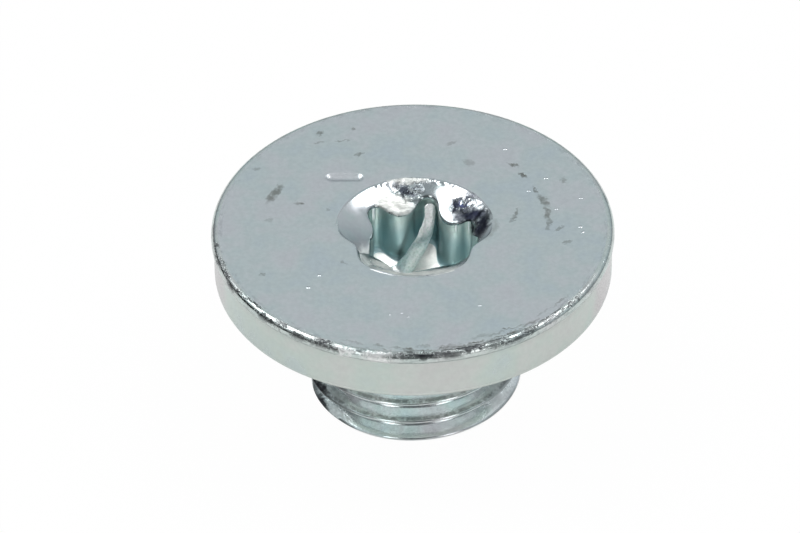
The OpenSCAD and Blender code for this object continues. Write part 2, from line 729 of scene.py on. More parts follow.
@dataclass(frozen=True)
class ZincPlate:
    """Bright zinc plating with a clear blue passivation, as one zone of the plug shows it.

    Sizes and heights are in millimetres. A layer whose first field is nothing is left out.
    """

    name: str
    colour: Colour
    roughness: float = 0.3
    roughness_drift: float = 0.03
    cloud_size: float = 4.0
    cloud: float = 0.8
    grain_size: float = 0.35
    grain_tone: float = 0.05
    grain_height: float = 0.002
    # Painted shade: a darker second colour, which takes over between two heights
    deep_shade_colour: Colour | None = None
    deep_from: float = 11.5
    deep_to: float = 9.8
    # Upright streaks
    streaks: float = 0.0
    # A dark line along the thread, just over its crests
    crest_dark_line: float = 0.0
    crest_dark_line_colour: Colour = (0.12, 0.13, 0.13)
    # Broken wear along a round edge, with painted shade in its dark patches and painted highlight in its
    # bright ones, which grows between two distances from the axis
    scuff_and_sheen: float = 0.0
    scuff_from: float = 12.0
    scuff_to: float = 13.0
    scuff_and_shade_colour: Colour = (0.06, 0.065, 0.08)
    scuff_and_highlight_colour: Colour = (0.86, 0.86, 0.86)
    scuff_roughness: float = 0.15
    scuff_height: float = 0.02
    # Smeared metal, drawn out along X
    smear_spots: tuple[Spot, ...] = ()
    smear_colour: Colour = (0.95, 0.955, 0.91)
    smear_roughness: float = 0.36
    smear_height: float = 0.03
    # Torn plating
    torn_spots: tuple[Spot, ...] = ()
    torn_size: float = 0.8
    torn_bare: Colour = (0.03, 0.035, 0.07)
    torn_flake: Colour = (0.75, 0.82, 0.88)
    torn_height: float = 0.05
    # Dark spots, broken up by the grain: marks, and painted shade where a zone uses them for it
    dark_spots_and_shade: tuple[Spot, ...] = ()
    dark_colour: Colour = (0.13, 0.135, 0.12)
    dark_grain: float = 0.55
    dark_roughness: float = 0.25
    dark_sunk: float = 0.01
    # Painted highlights: small glints
    painted_glints: tuple[Spot, ...] = ()
    painted_glint_colour: Colour = (0.95, 0.97, 1.0)
    bright_height: float = 0.03
    # Dark spots and painted glints show only above this height, and fade out over twice the second figure
    marks_above: float = 0.0
    marks_fade: float = 0.3

    def build(self, effects: Effects) -> bpy.types.Material:
        """Lays the layers one over the other.

        Args:
            effects: The shared groups.

        Returns:
            The material.
        """
        coat = Coat(self.name, self.colour, effects)
        nodes = coat.nodes
        cloud = nodes.group(effects.cloud, Place=coat.place, Size=self.cloud_size, Amount=self.cloud)
        grain = nodes.group(effects.grain, Place=coat.place, Size=self.grain_size)
        coat.grain = grain.outputs["Grain"]
        coat.tone(cloud.outputs["Tint"])
        coat.tone(nodes.span(coat.grain, 0.3, 0.7, 1.0 - self.grain_tone, 1.0 + self.grain_tone))
        low, high = self.roughness - self.roughness_drift, self.roughness + self.roughness_drift
        coat.roughness = nodes.span(cloud.outputs["Drift"], 0.3, 0.7, low, high)
        coat.height = nodes.times(coat.grain, self.grain_height)
        layers = (
            (self.deep_shade_colour, self.lay_depth_shade),
            (self.streaks, self.lay_streaks),
            (self.crest_dark_line, self.lay_crest_dark_line),
            (self.scuff_and_sheen, self.lay_scuffs_and_sheen),
            (self.smear_spots, self.lay_smears),
            (self.torn_spots, self.lay_tears),
            (self.dark_spots_and_shade, self.lay_dark_marks_and_shade),
            (self.painted_glints, self.lay_painted_glints),
        )
        for wanted, lay in layers:
            if wanted:
                lay(coat)
        return coat.finish()

    def lay_depth_shade(self, coat: Coat) -> None:
        """Lets the second colour take over with the depth: painted shade, darker down in the socket.

        Args:
            coat: The finish so far.
        """
        _, _, up = coat.nodes.split(coat.place)
        # Painted shade, deepening towards the socket's floor
        coat.paint(coat.nodes.span(up, self.deep_to, self.deep_from, 1.0, 0.0), self.deep_shade_colour)

    def lay_streaks(self, coat: Coat) -> None:
        """Changes the tone along upright streaks.

        Args:
            coat: The finish so far.
        """
        upright = coat.nodes.vector("MULTIPLY", coat.place, (5.0, 5.0, 0.35))
        streak = coat.nodes.noise(upright, 1.0, 3.0)
        coat.tone(coat.nodes.span(streak, 0.35, 0.65, 1.0 - self.streaks, 1.0 + self.streaks * 0.5))

    def lay_crest_dark_line(self, coat: Coat) -> None:
        """Lays a dark line along the thread's crests, broken up by the grain.

        Args:
            coat: The finish so far.
        """
        nodes, thread = coat.nodes, ShankSize
        lines = nodes.group(coat.effects.crest_line, Place=coat.place, Pitch=thread.pitch, Groove=thread.groove_at)
        crest_line = nodes.times(lines.outputs["Mask"], self.crest_dark_line)
        coat.paint(nodes.times(crest_line, nodes.span(coat.grain, 0.35, 0.6)), self.crest_dark_line_colour)

    def lay_scuffs_and_sheen(self, coat: Coat) -> None:
        """Wears the round edge, and paints shade and highlight along it.

        Args:
            coat: The finish so far.
        """
        limits = {"From": self.scuff_from, "To": self.scuff_to}
        scuff_and_sheen = coat.nodes.group(coat.effects.scuff_and_sheen, Place=coat.place, Share=self.scuff_and_sheen, **limits)
        dark, bright = scuff_and_sheen.outputs["Dark"], scuff_and_sheen.outputs["Bright"]
        # Painted shade in the dark patches and painted highlight in the bright ones, over the wear
        coat.paint(dark, self.scuff_and_shade_colour)
        coat.paint(bright, self.scuff_and_highlight_colour)
        coat.roughen(dark, self.scuff_roughness)
        coat.lift(bright, self.scuff_height)

    def lay_smears(self, coat: Coat) -> None:
        """Lays smeared metal with drawn-out lines in it.

        Args:
            coat: The finish so far.
        """
        nodes = coat.nodes
        mask = coat.marks(self.smear_spots, coat.shaken)
        drawn = nodes.noise(nodes.vector("MULTIPLY", coat.place, (2.0, 9.0, 9.0)), 1.0, 3.0)
        tone = nodes.span(drawn, 0.35, 0.65, 0.75, 1.0)
        smear = nodes.blend(1.0, (*self.smear_colour, 1), tone, "MULTIPLY")
        coat.colour = nodes.blend(mask, coat.colour, smear)
        coat.roughen(mask, self.smear_roughness)
        coat.lift(nodes.times(drawn, mask), self.smear_height)

    def lay_tears(self, coat: Coat) -> None:
        """Tears the plating: bare dark metal with bright flakes.

        Args:
            coat: The finish so far.
        """
        nodes = coat.nodes
        region = coat.marks(self.torn_spots, coat.shaken)
        tear = nodes.group(coat.effects.tear, Place=coat.place, Size=self.torn_size)
        bare = nodes.times(tear.outputs["Bare"], region)
        flake = nodes.times(tear.outputs["Flake"], region)
        coat.paint(bare, self.torn_bare)
        coat.paint(flake, self.torn_flake)
        coat.lift(nodes.plus(bare, flake), self.torn_height)

    def lay_dark_marks_and_shade(self, coat: Coat) -> None:
        """Lays the dark spots: marks, and painted shade where a zone uses them for it.

        Args:
            coat: The finish so far.
        """
        mask = self.above(coat, coat.marks(self.dark_spots_and_shade, coat.shaken))
        broken = coat.nodes.span(coat.grain, 0.32, 0.55, 1.0 - self.dark_grain, 1.0)
        # Paints the dark spots: marks, and painted shade on the shank and along the head's edge
        coat.paint(coat.nodes.times(mask, broken), self.dark_colour)
        coat.roughen(mask, self.dark_roughness)
        coat.lift(mask, -self.dark_sunk)

    def lay_painted_glints(self, coat: Coat) -> None:
        """Lays the painted glints: painted highlights, a little raised.

        Args:
            coat: The finish so far.
        """
        mask = self.above(coat, coat.marks(self.painted_glints, coat.place))
        # Painted highlight
        coat.paint(mask, self.painted_glint_colour)
        coat.lift(mask, self.bright_height)

    def above(self, coat: Coat, mask: Socket) -> Socket:
        """Keeps a mask to the part above the finish's own height, if it has one.

        Args:
            coat: The finish so far.
            mask: The mask.

        Returns:
            The mask, faded out about that height.
        """
        if not self.marks_above:
            return mask
        _, _, up = coat.nodes.split(coat.place)
        low, high = self.marks_above - self.marks_fade, self.marks_above + self.marks_fade
        return coat.nodes.times(mask, coat.nodes.span(up, low, high))


class Zone(Enum):
    """Zones of the plug, each with its own look of the same plating."""

    SHANK = ZincPlate(
        "zinc_shank",
        # Lighter than the head's plating: painted light that brightens the shank against the shade under the
        # head
        (0.755, 0.80, 0.81),
        roughness=0.2,
        cloud_size=2.4,
        cloud=1.0,
        grain_tone=0.02,
        grain_height=0.0005,
        streaks=0.07,
        crest_dark_line=0.65,
        # Painted shade: near-black patches at the shank's left and right ends, standing in for the shade
        # under the head
        dark_grain=0.15,
        dark_colour=(0.03, 0.03, 0.035),
        dark_spots_and_shade=(
            Spot(-6.3, -2.9, 1.9, 0.5, 115),
            Spot(-5.5, -4.2, 2.2, 0.7, 127, 0.65),
            Spot(5.7, -4.0, 2.4, 0.8, 55, 0.45),
        ),
    )
    SEAT = ZincPlate("zinc_seat", (0.62, 0.652, 0.625), roughness=0.24, cloud_size=4.0, grain_tone=0.03)
    RIM = ZincPlate(
        "zinc_rim",
        (0.56, 0.587, 0.566),
        roughness=0.3,
        cloud_size=4.0,
        cloud=1.0,
        grain_tone=0.03,
        grain_height=0.001,
        smear_colour=(0.63, 0.595, 0.61),
        smear_roughness=0.0,
        smear_height=0.0,
        smear_spots=(Spot(12.3, -3.8, 3.4, 1.5, 107, 0.9), Spot(-12.6, -2.6, 3.0, 1.3, 78, 0.7)),
    )
    LIP = ZincPlate(
        "zinc_lip",
        (0.58, 0.615, 0.605),
        roughness=0.17,
        cloud_size=3.0,
        grain_size=0.2,
        grain_tone=0.08,
        grain_height=0.004,
        # Edge wear with painted shade and painted highlight
        scuff_from=12.2,
        scuff_to=12.9,
        scuff_and_sheen=0.3,
        marks_above=12.5,
        # Rubbed wear with painted shade: dark dashes along the front and left of the rolled edge
        dark_grain=0.1,
        dark_colour=(0.02, 0.02, 0.026),
        dark_spots_and_shade=(
            *edge_chain(12.86, -93, -52, 15, 21),
            *edge_chain(12.74, -95, -66, 14, 23),
            *edge_chain(12.68, -66, -36, 14, 24, 0.9),
            *edge_chain(12.85, -172, -112, 18, 22),
        ),
        smear_colour=(0.9, 0.9, 0.9),
        smear_roughness=0.25,
        smear_spots=(Spot(-2.3, -12.7, 1.0, 0.16, -10, 0.9), Spot(-4.4, -12.1, 0.8, 0.14, -20, 0.7)),
    )
    TOP = ZincPlate(
        "zinc_top",
        (0.58, 0.613, 0.627),
        roughness=0.31,
        cloud_size=2.8,
        cloud=0.75,
        grain_tone=0.045,
        grain_height=0.002,
        # Edge wear with painted shade and painted highlight
        scuff_from=11.9,
        scuff_to=12.8,
        scuff_and_sheen=0.35,
        dark_spots_and_shade=(
            # The two outer chains are rubbed wear with painted shade on the front edge; the inner chain is
            # scratches
            *edge_chain(12.5, -97, -52, 14, 11),
            *edge_chain(12.6, -94, -60, 9, 12),
            *edge_chain(12.1, -110, -40, 10, 13, 0.5),
            Spot(-8.9, 3.5, 1.1, 0.3, 62, 0.75),
            Spot(-7.3, 2.5, 0.28, 0.2, 0, 0.8),
            Spot(-6.0, 9.8, 0.3, 0.22, 10, 0.7),
            Spot(-3.85, 10.2, 0.25, 0.12, -60, 0.6),
            Spot(-3.5, 7.5, 0.3, 0.14, 10, 0.6),
            Spot(-4.6, 8.9, 0.5, 0.08, 5, 0.45),
            Spot(-6.1, 8.8, 0.35, 0.1, 20, 0.4),
            Spot(-10.1, 6.1, 0.25, 0.2, 0, 0.4),
            Spot(-9.6, -4.7, 0.22, 0.18, 0, 0.6),
            Spot(-5.5, 1.8, 0.2, 0.15, 0, 0.4),
            Spot(-9.3, 0.8, 0.3, 0.2, 30, 0.3),
            Spot(6.6, 6.2, 0.45, 0.16, -25, 0.8),
            Spot(7.25, 5.1, 0.4, 0.17, -45, 0.9),
            Spot(8.0, 3.6, 0.45, 0.12, -60, 0.7),
            Spot(8.5, 2.4, 0.7, 0.28, -65, 0.7),
            Spot(8.7, 1.0, 0.9, 0.2, -80, 0.7),
            Spot(8.75, -0.1, 0.5, 0.12, 80, 0.6),
            Spot(9.4, -0.4, 0.4, 0.12, 50, 0.5),
            Spot(9.9, -1.8, 0.35, 0.12, 20, 0.5),
            Spot(9.8, 4.5, 0.3, 0.2, 80, 0.45),
            Spot(6.6, 1.0, 0.8, 0.13, 72, 0.65),
            Spot(2.6, 8.6, 0.4, 0.15, 30, 0.35),
            Spot(3.7, 6.5, 0.4, 0.3, -40, 0.35),
            Spot(5.05, -0.4, 1.1, 0.4, 75, 0.35),
            Spot(5.9, -10.4, 0.5, 0.07, 10, 0.7),
            Spot(-4.4, -3.7, 0.25, 0.1, -40, 0.4),
        ),
        # Painted highlights: small glints on the top face
        painted_glints=(
            Spot(6.1, 7.85, 0.12, 0.09),
            Spot(8.7, 4.75, 0.13, 0.07),
            Spot(7.55, 3.45, 0.12, 0.07),
            Spot(10.8, -0.3, 0.12, 0.1),
            Spot(10.95, -0.85, 0.14, 0.07, 40),
            Spot(10.9, 2.65, 0.12, 0.07),
            Spot(9.3, 1.55, 0.1, 0.07),
            Spot(-6.7, -6.1, 0.12, 0.1),
            Spot(-6.0, -4.9, 0.1, 0.08),
            Spot(11.7, -5.4, 0.16, 0.1),
            Spot(-0.75, -8.75, 0.08, 0.06),
            Spot(-0.35, -9.15, 0.08, 0.06),
            Spot(-1.5, -8.9, 0.07, 0.05),
            Spot(4.2, -8.1, 0.1, 0.07),
        ),
    )
    SINK = ZincPlate(
        "zinc_sink",
        (0.51, 0.545, 0.56),
        roughness=0.16,
        cloud_size=2.0,
        grain_tone=0.03,
        grain_height=0.001,
        smear_spots=(
            Spot(-1.2, 3.2, 1.5, 0.65, -8),
            Spot(0.2, -4.4, 3.4, 0.7),
            Spot(-1.9, -3.0, 1.0, 0.8, -45),
            Spot(-0.4, 4.75, 1.6, 0.2, 0, 0.8),
        ),
        torn_spots=(Spot(3.4, 2.7, 0.9, 0.6), Spot(-0.3, 4.15, 1.0, 0.45, 0, 0.8)),
        dark_grain=0.05,
        dark_colour=(0.014, 0.016, 0.028),
        dark_spots_and_shade=(
            Spot(3.85, 1.65, 1.45, 0.55, -20),
            Spot(4.45, 0.4, 1.4, 0.55, 74),
            Spot(2.75, 2.7, 0.6, 0.16, 78, 0.95),
            Spot(3.0, 2.0, 0.45, 0.2, 30, 0.9),
            Spot(-1.0, 4.45, 0.4, 0.18, 60, 0.6),
            Spot(-0.55, 3.75, 0.55, 0.1, 100, 0.6),
            Spot(0.2, 4.6, 0.7, 0.09, 5, 0.5),
        ),
        # Painted highlight: a bright line along the countersink's near rim
        painted_glints=(Spot(-1.95, -4.62, 1.0, 0.11, -24),),
    )
    FLOOR = ZincPlate(
        "zinc_floor",
        # Near white: painted light, for the overhead light that the socket's floor throws back
        (0.9, 0.9, 0.86),
        roughness=0.34,
        cloud_size=2.0,
        cloud=0.3,
        grain_size=0.3,
        grain_tone=0.08,
    )
    WALL = ZincPlate(
        "zinc_wall",
        (0.56, 0.64, 0.625),
        roughness=0.36,
        cloud_size=1.2,
        grain_tone=0.06,
        # Painted shade: the walls darken towards the socket's floor
        deep_shade_colour=(0.42, 0.58, 0.60),
        marks_above=11.2,
        # Painted highlights: short upright glints on the socket's walls
        painted_glints=(
            Spot(-2.5, 2.6, 0.1, 0.6),
            Spot(2.8, 1.55, 0.08, 0.4, 0, 0.8),
            Spot(3.62, 1.2, 0.06, 0.4, 0, 0.8),
        ),
        dark_colour=(0.02, 0.022, 0.035),
        dark_spots_and_shade=(Spot(3.95, 1.0, 0.55, 0.4, 16),),
    )


SLIVER_ZINC = ZincPlate(
    "zinc_sliver",
    (0.95, 0.97, 0.95),
    roughness=0.4,
    cloud_size=0.9,
    grain_size=0.16,
    grain_tone=0.2,
    grain_height=0.02,
)


# The plug


@dataclass
class PlugSurface:
    """The whole plug as one closed skin, wound about the axis from the end face to the socket's floor.

    Each part of the skin is two grids, distances from the axis and heights, with one row a point of
    the section and one column an angle.
    """

    head: HeadSize = field(default_factory=HeadSize)
    shank: ShankSize = field(default_factory=ShankSize)
    socket: SocketSize = field(default_factory=SocketSize)
    wear: DamageSize = field(default_factory=DamageSize)
    columns: int = 384

    def __post_init__(self) -> None:
        """Works out what the sections share."""
        self.theta = np.linspace(0.0, TURN, self.columns + 1) + TURN / 4
        self.seat_z = self.shank.length
        self.top_z = self.seat_z + self.head.height
        self.rim_r = self.head.radius - self.head.lip_out
        self.neck_r = self.shank.radius - 3 / 8 * math.cos(math.radians(30)) * self.shank.pitch
        self.edge_r = self.lobed_radius()

    def level(self, points: Array) -> Rows:
        """Carries section points round the axis unchanged.

        Args:
            points: Lines of (distance from the axis, height).

        Returns:
            Distances and heights.
        """
        points = np.atleast_2d(points)
        ones = np.ones((1, self.columns + 1))
        return points[:, :1] * ones, points[:, 1:] * ones

    def degrees_from(self, direction: float) -> Array:
        """Angle of each column from a direction, between -180 and 180 degrees.

        Args:
            direction: The direction, in degrees from +X towards +Y.

        Returns:
            The angles.
        """
        return (np.degrees(self.theta) - direction + 180.0) % 360.0 - 180.0

    def thread_radius(self, turn: Array, z: Array) -> Array:
        """The thread's skin: a round root, flanks at 60 degrees to each other and a softened crest.

        The section repeats every pitch, and climbs one pitch for each turn.

        Args:
            turn: Share of a turn from the side towards the camera.
            z: Height.

        Returns:
            Distance from the axis.
        """
        shank, slope = self.shank, math.tan(math.radians(60))
        away = (z - shank.groove_at) / shank.pitch - turn
        away = np.abs(away - np.round(away)) * shank.pitch
        root_round = shank.root_round * shank.pitch
        flank_from = root_round * math.sin(math.radians(60))
        half_groove = 7 / 16 * shank.pitch
        root_r = shank.radius - root_round / 2 - slope * (half_groove - flank_from)
        inside = root_r + root_round - np.sqrt(root_round**2 - np.minimum(away, flank_from) ** 2)
        flank = root_r + root_round / 2 + slope * (away - flank_from)
        cut = np.where(away < flank_from, inside, flank)
        crest = np.full_like(cut, shank.radius + 0.2 * shank.crest_round)
        return soft_min(cut, crest, shank.crest_round)

    def thread(self) -> Rows:
        """Rows that climb with the thread, held between the end face and the neck.

        A row's height is its own place in the pitch plus a pitch for each turn, so crests and roots
        lie along rows. Rows that would pass the ends stop there, and their spare points merge.

        Returns:
            Distances and heights.
        """
        shank, pitch = self.shank, self.shank.pitch
        # Rows between a root and the crest over it, closer where the section bends, for a pitch of 1.5
        over_root = np.array([0.07, 0.13, 0.19, 0.34, 0.5, 0.595, 0.645, 0.69]) * pitch / 1.5
        steps = np.concatenate([[0.0], over_root, [pitch / 2], pitch - over_root[::-1]])
        low, high = 0.0, self.seat_z - shank.neck
        turn = (self.theta - self.theta[0]) / TURN
        front = (self.theta - 3 * TURN / 4) / TURN
        base = shank.groove_at + (turn[0] - 0.5) * pitch
        first = math.floor((low - base) / pitch) - 1
        last = math.ceil((high - base) / pitch) + 1
        starts = (base + np.arange(first, last)[:, None] * pitch + steps[None, :]).ravel()
        keep = (starts > low - pitch) & (starts < high)
        z = np.clip(starts[keep][:, None] + turn[None, :] * pitch, low, high)
        r = self.thread_radius(front[None, :] * np.ones_like(z), z)
        into_neck = smooth(z, high - shank.runout, high)
        r = r * (1 - into_neck) + self.neck_r * into_neck
        cone = shank.radius - shank.end_chamfer * (1 - z / shank.end_chamfer_long)
        return soft_min(r, cone, shank.chamfer_round), z

    def lobed_radius(self) -> Array:
        """Outline of the socket at each angle: a lobe's circle near its point, and a rib's circle between.

        Each is the far or near crossing of a ray from the axis with a circle: the root of a quadratic.

        Returns:
            Distance from the socket's axis at each column's angle.
        """
        s, pitch = self.socket, TURN / 6
        lobe_at = s.across_lobes / 2 - s.lobe_radius
        near = s.across_ribs / 2
        sine, cosine = math.sin(pitch / 2), math.cos(pitch / 2)
        gap = lobe_at**2 + near**2 - 2 * lobe_at * near * cosine - s.lobe_radius**2
        rib = gap / (2 * (s.lobe_radius - near + lobe_at * cosine))
        rib_at = near + rib
        meet = math.atan2(s.lobe_radius * rib_at * sine, lobe_at * rib + s.lobe_radius * rib_at * cosine)
        angle = self.theta - math.radians(s.turn)
        off_lobe = np.abs((angle + pitch / 2) % pitch - pitch / 2)
        off_rib = pitch / 2 - off_lobe
        in_lobe = np.minimum(off_lobe, meet)
        lobe_r = lobe_at * np.cos(in_lobe) + np.sqrt(s.lobe_radius**2 - (lobe_at * np.sin(in_lobe)) ** 2)
        in_rib = np.minimum(off_rib, pitch / 2 - meet)
        rib_r = rib_at * np.cos(in_rib) - np.sqrt(rib**2 - (rib_at * np.sin(in_rib)) ** 2)
        return np.where(off_lobe < meet, lobe_r, rib_r)

    def mouth_outline(self) -> Array:
        """Outline of the socket at its mouth, where pushed metal closes one lobe and one rib is worn away.

        The closing edge is a straight line across that lobe: its distance over the cosine of the angle.
        The worn rib blends to a round of its own radius.

        Returns:
            Distance from the socket's axis at each column's angle.
        """
        s = self.socket
        facing = np.cos(np.radians(self.degrees_from(s.closed_facing)))
        edge = s.closed_at / np.maximum(facing, 0.2)
        in_reach = np.abs(self.degrees_from(s.closed_lobe)) < s.closed_reach
        closed = np.where(in_reach, np.minimum(self.edge_r, edge), self.edge_r)
        off_worn = np.abs(self.degrees_from(s.worn_rib))
        worn = np.maximum(closed, s.worn_to)
        return closed + (worn - closed) * (1 - smooth(off_worn, s.worn_reach, s.worn_gone))

    def end_face(self, edge: Array) -> Rows:
        """The flat end, as rings that share the shape of its edge.

        Args:
            edge: Distance of the edge from the axis at each angle.

        Returns:
            Distances and heights.
        """
        share = np.array([0.0, 0.35, 0.65, 0.85, 0.95])[:, None]
        return share * edge[None, :], np.zeros((len(share), self.columns + 1))

    def neck(self) -> Rows:
        """The plain neck, and the fillet under the head.

        Returns:
            Distances and heights.
        """
        fillet, low = self.shank.neck_fillet, self.seat_z - self.shank.neck
        high = self.seat_z - fillet
        neck = [[self.neck_r, z] for z in (low + 0.3, low + 0.8, high)]
        corner = arc_rows((self.neck_r + fillet, high), fillet, 180, 90, 5)
        return self.level(np.concatenate([neck, corner]))

    def seat(self) -> Rows:
        """The sealing face and the edge up to the rim.

        Returns:
            Distances and heights.
        """
        edge, inner = self.head.seat_edge, self.neck_r + self.shank.neck_fillet
        face = [[r, self.seat_z] for r in np.linspace(inner, self.rim_r - edge, 7)[1:]]
        corner = arc_rows((self.rim_r - edge, self.seat_z + edge), edge, -90, 0, 5)
        return self.level(np.concatenate([face, corner]))

    def rim(self) -> Rows:
        """The rim, up to where the lip begins.

        Returns:
            Distances and heights.
        """
        low = self.seat_z + self.head.seat_edge
        high = self.top_z - self.head.lip_height - self.head.lip_run
        return self.level(np.array([[self.rim_r, z] for z in np.linspace(low, high, 7)[1:]]))

    def lip(self) -> Rows:
        """The lip that stands out over the rim, and the rolled top edge.

        Returns:
            Distances and heights.
        """
        h = self.head
        run_z = self.top_z - h.lip_height - h.lip_run
        roll_z = self.top_z - h.top_edge
        share = np.linspace(0, 1, 5)[1:]
        run = np.stack([self.rim_r + h.lip_out * smooth(share, 0, 1), run_z + h.lip_run * share], -1)
        roll = arc_rows((h.radius - h.top_edge, roll_z), h.top_edge, 0, 90, 12)
        return self.level(np.concatenate([run, [[h.radius, roll_z]], roll]))

    def top_face(self) -> Rows:
        """The head's flat top, from the rolled edge in to the mouth of the countersink.

        Returns:
            Distances and heights.
        """
        outer = self.head.radius - self.head.top_edge
        inner = self.socket.sink_radius + self.socket.mouth_edge
        r = np.linspace(outer, inner, 49)[1:]
        return self.level(np.stack([r, np.full_like(r, self.top_z)], -1))

    def sink(self) -> Rows:
        """The countersink's rounded mouth, its cone, and the rounded brink of the socket.

        The cone runs from the mouth to the socket's outline at each angle, falls as it goes in, and
        bellies out by a parabola.

        Returns:
            Distances and heights.
        """
        s = self.socket
        fall = 1 / math.tan(math.radians(s.sink_angle / 2))
        lean = math.atan(fall)
        back = s.mouth_edge * math.tan(lean / 2)
        turned = np.linspace(0, lean, 4)[1:, None] * np.ones_like(self.theta)
        r_mouth = s.sink_radius + back - s.mouth_edge * np.sin(turned)
        z_mouth = self.top_z - s.mouth_edge * (1 - np.cos(turned))

        outline = self.mouth_outline()[None, :]
        share = np.linspace(0, 1, 25)[1:, None]
        from_r, to_r = s.sink_radius - back * math.cos(lean), outline + s.brink
        r_cone = from_r + (to_r - from_r) * share
        belly = s.belly * 4 * share * (1 - share) * (from_r - to_r)
        z_cone = self.top_z - (s.sink_radius - r_cone) * fall + belly

        bend = np.radians(np.array([25.0, 50.0, 75.0, 90.0]))[:, None]
        r_brink = outline + s.brink * (1 - np.sin(bend))
        z_brink = z_cone[-1:] - s.brink * (fall * np.sin(bend) + (1 - np.cos(bend)))
        return np.concatenate([r_mouth, r_cone, r_brink]), np.concatenate([z_mouth, z_cone, z_brink])

    def walls(self, brink_z: Array) -> Rows:
        """The socket's walls, from its outline at the mouth to the true outline, and the fillet below.

        Args:
            brink_z: Height of the socket's edge at each angle.

        Returns:
            Distances and heights.
        """
        s, slope = self.socket, math.tan(math.radians(self.socket.floor_slope))
        outline, true_outline = self.mouth_outline()[None, :], self.edge_r[None, :]
        low = self.top_z - s.depth - (s.across_lobes / 2 - true_outline) * slope + s.floor_fillet
        share = np.linspace(0, 1, 17)[1:, None]
        z_wall = brink_z + (low - brink_z) * share
        # Worn metal blends over nearly the whole depth, and pushed metal hangs over with a short blend
        reach = np.where(outline > true_outline, smooth(share, 0.0, 0.95), smooth(share, 0.3, 0.65))
        r_wall = outline + (true_outline - outline) * reach

        bend = np.radians(np.array([22.0, 45.0, 68.0, 90.0]))[:, None]
        inwards = s.floor_fillet * (1 - np.cos(bend))
        r_foot = true_outline - inwards
        z_foot = low - s.floor_fillet * np.sin(bend) - inwards * slope
        return np.concatenate([r_wall, r_foot]), np.concatenate([z_wall, z_foot])

    def floor(self, foot: Rows) -> Rows:
        """The socket's conical floor, from the foot of its walls to the axis.

        Args:
            foot: Distances and heights of the last row of the walls.

        Returns:
            Distances and heights.
        """
        slope = math.tan(math.radians(self.socket.floor_slope))
        foot_r, foot_z = foot
        share = np.linspace(0, 1, 11)[1:, None]
        r = foot_r * (1 - share)
        z = foot_z - (foot_r - r) * slope
        z[-1] = z[-1].mean()
        return r, z

    def pushed(self, r: Array) -> Array:
        """Where metal pushed in from the top fills the countersink's rim, at bell-shaped places.

        Args:
            r: Distances from the head's axis.

        Returns:
            Share of the fill, from 0 to 1.
        """
        wear = self.wear
        around = np.degrees(self.theta) % 360.0
        edge = wear.push_radius
        for inwards, direction, width in wear.pushes:
            edge = edge - inwards * bell(around, direction, width)
        filled = smooth(r, edge - wear.push_blend, edge + wear.push_blend)
        return filled * (1 - smooth(r, wear.push_full, wear.fades_to))

    def damage(self, r: Array, z: Array) -> Array:
        """Height that wear adds or takes at each point of the head's top and countersink.

        The torn metal is noise within an oval. The swirl is a sine across a bent band. The tongue is a
        bulge. The slot is a smooth step of the distance from a straight line.

        Args:
            r: Distances from the head's axis.
            z: Heights.

        Returns:
            Change of height, in millimetres.
        """
        w = self.wear
        x, y = r * np.cos(self.theta), r * np.sin(self.theta)
        coarse, fine = lattice_noise(x, y, cell=0.55, seed=5), lattice_noise(x, y, cell=0.27, seed=6)
        ridges = np.abs(coarse) * 0.9 + 0.6 * fine
        torn = w.torn.share(x, y) * (w.torn_height * ridges - w.torn_sunk)
        waves = w.swirl_height * np.sin((y + w.swirl_bend * x * x) * w.swirl_waves)
        swirl = w.swirl.share(x, y) * (waves + 0.05 * lattice_noise(x, y, cell=0.3, seed=7))
        drawn = lattice_noise(x * 0.6 + y, y * 2 - x, cell=0.3, seed=8)
        tongue = w.tongue.share(x, y) * (w.tongue_height + 0.03 * drawn)
        rough = smooth(y, w.rough_from, w.rough_full) * bell(r, w.rough_radius, w.rough_width)
        rough = rough * w.rough_height * lattice_noise(x, y, cell=0.16, seed=9)
        change = (torn + swirl + tongue + rough) * (1 - smooth(r, w.fades_from, w.fades_to))
        change = change + self.pushed(r) * np.clip(self.top_z - z, 0.0, None)
        from_slot = np.hypot(np.clip(np.abs(x - w.slot_x) - w.slot_half, 0.0, None), y - w.slot_y)
        change = change - w.slot_depth * (1 - smooth(from_slot, w.slot_bottom, w.slot_edge))
        return np.where(z > self.top_z - w.down_to, change, 0.0) * (r < w.reach)

    def parts(self) -> list[tuple[Zone, Rows]]:
        """All parts of the skin, from the middle of the end face to the middle of the socket's floor.

        Returns:
            Each part's zone with its distances and heights.
        """
        thread, sink = self.thread(), self.sink()
        walls = self.walls(sink[1][-1:])
        floor = self.floor((walls[0][-1:], walls[1][-1:]))
        return [
            (Zone.SHANK, self.end_face(thread[0][0])),
            (Zone.SHANK, thread),
            (Zone.SHANK, self.neck()),
            (Zone.SEAT, self.seat()),
            (Zone.RIM, self.rim()),
            (Zone.LIP, self.lip()),
            (Zone.TOP, self.top_face()),
            (Zone.SINK, sink),
            (Zone.WALL, walls),
            (Zone.FLOOR, floor),
        ]

    def build(self, name: str) -> bpy.types.Object:
        """Lays all rows as one grid, wears it, merges the seam and the poles, and makes the object.

        Args:
            name: Name of the piece.

        Returns:
            The plug, closed, with its faces outwards.
        """
        parts, order, s = self.parts(), list(Zone), self.socket
        zones = np.concatenate([np.full(rows[0].shape, order.index(zone)) for zone, rows in parts])
        r = np.concatenate([rows[0] for _, rows in parts])
        z = np.concatenate([rows[1] for _, rows in parts])
        # The rows from the outer edge of the flat top inwards
        flat_top = (z > self.top_z - 1e-6).all(1)
        inner = np.cumsum(flat_top)[:, None] > 0
